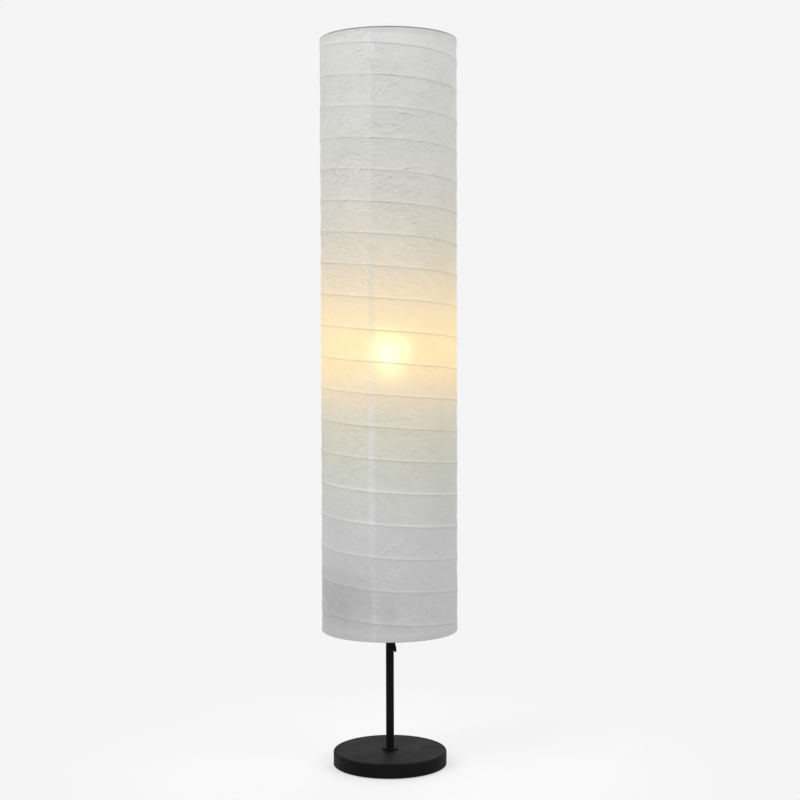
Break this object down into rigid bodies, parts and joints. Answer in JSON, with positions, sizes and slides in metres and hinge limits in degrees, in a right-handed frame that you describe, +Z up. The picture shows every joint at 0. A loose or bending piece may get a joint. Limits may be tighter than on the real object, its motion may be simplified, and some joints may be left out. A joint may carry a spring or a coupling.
{
  "type": "floor lamp",
  "caption": "Floor lamp: a tall round paper column on a spiral wire rib, lit from inside, over a thin tube stem and a round weighted base.",
  "frame": {"origin": "on the floor under the stem, at the middle of the base", "axes": "+Z up along the stem, the lamp's front towards -Y, +X to the right seen from the front"},
  "size_m": [0.22, 0.22, 1.17],
  "materials": {
    "black_steel": "satin",
    "cast_iron": "matte",
    "zinc_steel": "satin",
    "rubber": "matte",
    "brass": "satin",
    "black_plastic": "satin",
    "lead_sheath": "satin",
    "porcelain": "satin",
    "nickel": "satin",
    "bulb_glass": "satin",
    "steel_wire": "satin",
    "paper": "matte"
  },
  "bodies": {
    "stand": {"base_cover": "black_steel", "base_weight": "cast_iron", "base_plate": "black_steel", "plate_screws": "zinc_steel", "feet": "rubber", "base_washer": "zinc_steel", "lock_nut": "zinc_steel", "base_nipple": "brass", "cord_bushing": "black_plastic", "lead": "lead_sheath", "stem_collar": "black_steel", "stem_lower": "black_steel", "stem_joiner": "brass", "stem_upper": "black_steel", "stop_rivets": "black_steel", "upper_nipple": "brass", "holder_cap": "black_plastic", "holder_body": "black_plastic", "holder_insert": "porcelain", "screw_shell": "brass", "clamp_ring": "black_plastic", "bulb_cap": "nickel", "bulb_globe": "bulb_glass", "harp_yoke": "black_steel", "harp": "black_steel", "top_spider": "black_steel", "finial": "black_steel", "top_ring": "steel_wire", "top_hem": "paper", "paper_upper": "paper", "rib_upper": "steel_wire", "paper_lower": "paper", "rib_lower": "steel_wire"},
    "shade_foot": {"bottom_ring": "steel_wire", "bottom_spider": "black_steel", "sliding_eye": "black_plastic", "bottom_hem": "paper"}
  },
  "joints": [
    {"name": "shade_lift", "type": "slide", "parent": "stand", "child": "shade_foot", "axis": [0, 0, 1], "range_m": [0, 0.325], "deforming": ["paper_lower", "rib_lower"]}
  ]
}
